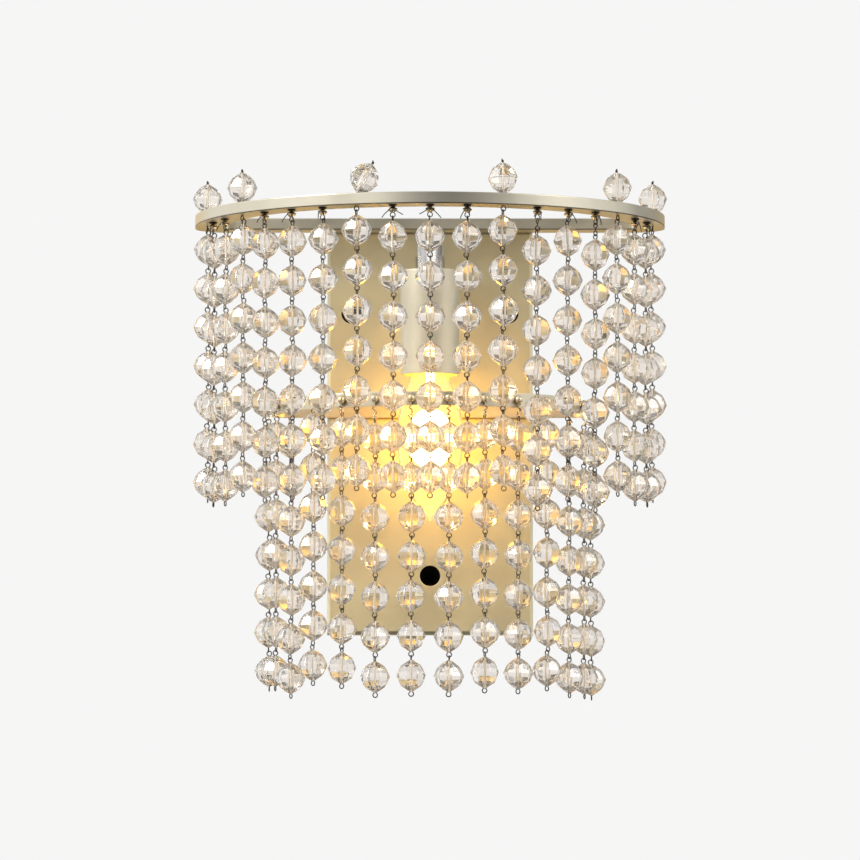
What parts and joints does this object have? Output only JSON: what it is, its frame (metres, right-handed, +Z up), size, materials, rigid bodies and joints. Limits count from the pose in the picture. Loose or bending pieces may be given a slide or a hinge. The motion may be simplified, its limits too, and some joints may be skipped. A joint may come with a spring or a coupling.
{
  "type": "beaded wall sconce",
  "caption": "Two-tier wall sconce: D-shaped metal rings on a flat wall pan carry curtains of linked faceted crystal beads round a downward candle bulb on a square arm.",
  "frame": {"origin": "on the wall plane, at the middle of the wall bracket, 1 mm below the middle of the wall plate", "axes": "+Z up, +Y into the wall; the front faces -Y and +X is to the right seen from the front"},
  "size_m": [0.2516, 0.1664, 0.2755],
  "materials": {
    "champagne_metal": "satin champagne lacquer",
    "black_metal": "matt black",
    "steel": "zinc plated",
    "chrome": "polished chrome",
    "gunmetal": "dark plated",
    "pin_wire": "champagne plated wire",
    "crystal": "clear cut crystal with a faint champagne tint",
    "brass": "polished brass",
    "cap_metal": "nickel plated",
    "bulb_glass": "frosted warm glass",
    "insulator": "moulded heat-proof plastic",
    "terminal_plastic": "moulded",
    "lead_cover": "insulated lead",
    "grommet_rubber": "matt rubber"
  },
  "bodies": {
    "frame": {"backplate": "champagne_metal", "upper_ring": "champagne_metal", "lower_ring": "champagne_metal", "socket_sleeve": "champagne_metal", "wall_bracket": "black_metal", "cover_screws": "steel", "ring_screws": "steel", "arm_nipple": "steel", "arm_lock_nut": "steel", "socket_nipple": "steel", "socket_arm": "chrome", "upper_hooks": "gunmetal", "top_bead_pins": "pin_wire", "top_beads": "crystal", "lower_hooks": "brass", "socket_shell": "brass", "socket_contact": "brass", "lamp_socket": "insulator", "terminal_block": "terminal_plastic", "terminal_screws": "steel", "socket_leads": "lead_cover", "earth_screw": "brass", "cable_grommet": "grommet_rubber"},
    "bulb": {"bulb_glass": "bulb_glass", "bulb_cap": "cap_metal", "bulb_stem": "bulb_glass"},
    "upper_strand_01": {"upper_strand_01": "crystal"},
    "upper_strand_02": {"upper_strand_02": "crystal"},
    "upper_strand_03": {"upper_strand_03": "crystal"},
    "upper_strand_04": {"upper_strand_04": "crystal"},
    "upper_strand_05": {"upper_strand_05": "crystal"},
    "upper_strand_06": {"upper_strand_06": "crystal"},
    "upper_strand_07": {"upper_strand_07": "crystal"},
    "upper_strand_08": {"upper_strand_08": "crystal"},
    "upper_strand_09": {"upper_strand_09": "crystal"},
    "upper_strand_10": {"upper_strand_10": "crystal"},
    "upper_strand_11": {"upper_strand_11": "crystal"},
    "upper_strand_12": {"upper_strand_12": "crystal"},
    "upper_strand_13": {"upper_strand_13": "crystal"},
    "upper_strand_14": {"upper_strand_14": "crystal"},
    "upper_strand_15": {"upper_strand_15": "crystal"},
    "upper_strand_16": {"upper_strand_16": "crystal"},
    "upper_strand_17": {"upper_strand_17": "crystal"},
    "upper_strand_18": {"upper_strand_18": "crystal"},
    "upper_strand_19": {"upper_strand_19": "crystal"},
    "lower_strand_01": {"lower_strand_01": "crystal"},
    "lower_strand_02": {"lower_strand_02": "crystal"},
    "lower_strand_03": {"lower_strand_03": "crystal"},
    "lower_strand_04": {"lower_strand_04": "crystal"},
    "lower_strand_05": {"lower_strand_05": "crystal"},
    "lower_strand_06": {"lower_strand_06": "crystal"},
    "lower_strand_07": {"lower_strand_07": "crystal"},
    "lower_strand_08": {"lower_strand_08": "crystal"},
    "lower_strand_09": {"lower_strand_09": "crystal"},
    "lower_strand_10": {"lower_strand_10": "crystal"},
    "lower_strand_11": {"lower_strand_11": "crystal"},
    "lower_strand_12": {"lower_strand_12": "crystal"},
    "lower_strand_13": {"lower_strand_13": "crystal"},
    "lower_strand_14": {"lower_strand_14": "crystal"}
  },
  "joints": [
    {"name": "upper_swing_01", "type": "hinge", "parent": "frame", "child": "upper_strand_01", "pos_m": [-0.11806, -0.05491, 0.10288], "axis": [-0.1253, 0.9921, 0], "range_deg": [-4, 30]},
    {"name": "upper_swing_02", "type": "hinge", "parent": "frame", "child": "upper_strand_02", "pos_m": [-0.11416, -0.0736, 0.09918], "axis": [-0.2823, 0.9593, 0], "range_deg": [-4, 30]},
    {"name": "upper_swing_03", "type": "hinge", "parent": "frame", "child": "upper_strand_03", "pos_m": [-0.10732, -0.09142, 0.09918], "axis": [-0.4321, 0.9018, 0], "range_deg": [-4, 30]},
    {"name": "upper_swing_04", "type": "hinge", "parent": "frame", "child": "upper_strand_04", "pos_m": [-0.09772, -0.10791, 0.10288], "axis": [-0.5707, 0.8211, 0], "range_deg": [-4, 30]},
    {"name": "upper_swing_05", "type": "hinge", "parent": "frame", "child": "upper_strand_05", "pos_m": [-0.0856, -0.12266, 0.09918], "axis": [-0.6947, 0.7193, 0], "range_deg": [-4, 30]},
    {"name": "upper_swing_06", "type": "hinge", "parent": "frame", "child": "upper_strand_06", "pos_m": [-0.07128, -0.13529, 0.09918], "axis": [-0.8007, 0.599, 0], "range_deg": [-4, 30]},
    {"name": "upper_swing_07", "type": "hinge", "parent": "frame", "child": "upper_strand_07", "pos_m": [-0.05513, -0.14546, 0.09918], "axis": [-0.8862, 0.4633, 0], "range_deg": [-4, 30]},
    {"name": "upper_swing_08", "type": "hinge", "parent": "frame", "child": "upper_strand_08", "pos_m": [-0.03756, -0.15292, 0.10288], "axis": [-0.9489, 0.3156, 0], "range_deg": [-4, 30]},
    {"name": "upper_swing_09", "type": "hinge", "parent": "frame", "child": "upper_strand_09", "pos_m": [-0.01903, -0.15747, 0.09918], "axis": [-0.9871, 0.1599, 0], "range_deg": [-4, 30]},
    {"name": "upper_swing_10", "type": "hinge", "parent": "frame", "child": "upper_strand_10", "pos_m": [0, -0.159, 0.09918], "axis": [-1, 0, 0], "range_deg": [-4, 30]},
    {"name": "upper_swing_11", "type": "hinge", "parent": "frame", "child": "upper_strand_11", "pos_m": [0.01903, -0.15747, 0.09918], "axis": [-0.9871, -0.1599, 0], "range_deg": [-4, 30]},
    {"name": "upper_swing_12", "type": "hinge", "parent": "frame", "child": "upper_strand_12", "pos_m": [0.03756, -0.15292, 0.10288], "axis": [-0.9489, -0.3156, 0], "range_deg": [-4, 30]},
    {"name": "upper_swing_13", "type": "hinge", "parent": "frame", "child": "upper_strand_13", "pos_m": [0.05513, -0.14546, 0.09918], "axis": [-0.8862, -0.4633, 0], "range_deg": [-4, 30]},
    {"name": "upper_swing_14", "type": "hinge", "parent": "frame", "child": "upper_strand_14", "pos_m": [0.07128, -0.13529, 0.09918], "axis": [-0.8007, -0.599, 0], "range_deg": [-4, 30]},
    {"name": "upper_swing_15", "type": "hinge", "parent": "frame", "child": "upper_strand_15", "pos_m": [0.0856, -0.12266, 0.09918], "axis": [-0.6947, -0.7193, 0], "range_deg": [-4, 30]},
    {"name": "upper_swing_16", "type": "hinge", "parent": "frame", "child": "upper_strand_16", "pos_m": [0.09772, -0.10791, 0.10288], "axis": [-0.5707, -0.8211, 0], "range_deg": [-4, 30]},
    {"name": "upper_swing_17", "type": "hinge", "parent": "frame", "child": "upper_strand_17", "pos_m": [0.10732, -0.09142, 0.09918], "axis": [-0.4321, -0.9018, 0], "range_deg": [-4, 30]},
    {"name": "upper_swing_18", "type": "hinge", "parent": "frame", "child": "upper_strand_18", "pos_m": [0.11416, -0.0736, 0.09918], "axis": [-0.2823, -0.9593, 0], "range_deg": [-4, 30]},
    {"name": "upper_swing_19", "type": "hinge", "parent": "frame", "child": "upper_strand_19", "pos_m": [0.11806, -0.05491, 0.10288], "axis": [-0.1253, -0.9921, 0], "range_deg": [-4, 30]},
    {"name": "lower_swing_01", "type": "hinge", "parent": "frame", "child": "lower_strand_01", "pos_m": [-0.086, -0.03977, 0.00346], "axis": [-0.1071, 0.9942, 0], "range_deg": [-4, 15]},
    {"name": "lower_swing_02", "type": "hinge", "parent": "frame", "child": "lower_strand_02", "pos_m": [-0.08176, -0.05873, 0.00346], "axis": [-0.3264, 0.9452, 0], "range_deg": [-4, 15]},
    {"name": "lower_swing_03", "type": "hinge", "parent": "frame", "child": "lower_strand_03", "pos_m": [-0.0734, -0.07627, -0.001], "axis": [-0.5292, 0.8485, 0], "range_deg": [-4, 15]},
    {"name": "lower_swing_04", "type": "hinge", "parent": "frame", "child": "lower_strand_04", "pos_m": [-0.06132, -0.0915, 0.00546], "axis": [-0.7053, 0.709, 0], "range_deg": [-4, 15]},
    {"name": "lower_swing_05", "type": "hinge", "parent": "frame", "child": "lower_strand_05", "pos_m": [-0.04616, -0.10366, 0.00299], "axis": [-0.8457, 0.5336, 0], "range_deg": [-4, 15]},
    {"name": "lower_swing_06", "type": "hinge", "parent": "frame", "child": "lower_strand_06", "pos_m": [-0.02866, -0.11211, -0.001], "axis": [-0.9435, 0.3313, 0], "range_deg": [-4, 15]},
    {"name": "lower_swing_07", "type": "hinge", "parent": "frame", "child": "lower_strand_07", "pos_m": [-0.00972, -0.11645, -0.001], "axis": [-0.9937, 0.1123, 0], "range_deg": [-4, 15]},
    {"name": "lower_swing_08", "type": "hinge", "parent": "frame", "child": "lower_strand_08", "pos_m": [0.00972, -0.11645, -0.001], "axis": [-0.9937, -0.1123, 0], "range_deg": [-4, 15]},
    {"name": "lower_swing_09", "type": "hinge", "parent": "frame", "child": "lower_strand_09", "pos_m": [0.02866, -0.11211, 0.00099], "axis": [-0.9435, -0.3313, 0], "range_deg": [-4, 15]},
    {"name": "lower_swing_10", "type": "hinge", "parent": "frame", "child": "lower_strand_10", "pos_m": [0.04616, -0.10366, 0.00052], "axis": [-0.8457, -0.5336, 0], "range_deg": [-4, 15]},
    {"name": "lower_swing_11", "type": "hinge", "parent": "frame", "child": "lower_strand_11", "pos_m": [0.06132, -0.0915, 0.00204], "axis": [-0.7053, -0.709, 0], "range_deg": [-4, 15]},
    {"name": "lower_swing_12", "type": "hinge", "parent": "frame", "child": "lower_strand_12", "pos_m": [0.0734, -0.07627, -0.001], "axis": [-0.5292, -0.8485, 0], "range_deg": [-4, 15]},
    {"name": "lower_swing_13", "type": "hinge", "parent": "frame", "child": "lower_strand_13", "pos_m": [0.08176, -0.05873, -0.001], "axis": [-0.3264, -0.9452, 0], "range_deg": [-4, 15]},
    {"name": "lower_swing_14", "type": "hinge", "parent": "frame", "child": "lower_strand_14", "pos_m": [0.086, -0.03977, -0.001], "axis": [-0.1071, -0.9942, 0], "range_deg": [-4, 15]},
    {"name": "bulb_turn", "type": "hinge", "parent": "frame", "child": "bulb", "pos_m": [0, -0.07, 0], "axis": [0, 0, 1], "continuous": true}
  ]
}
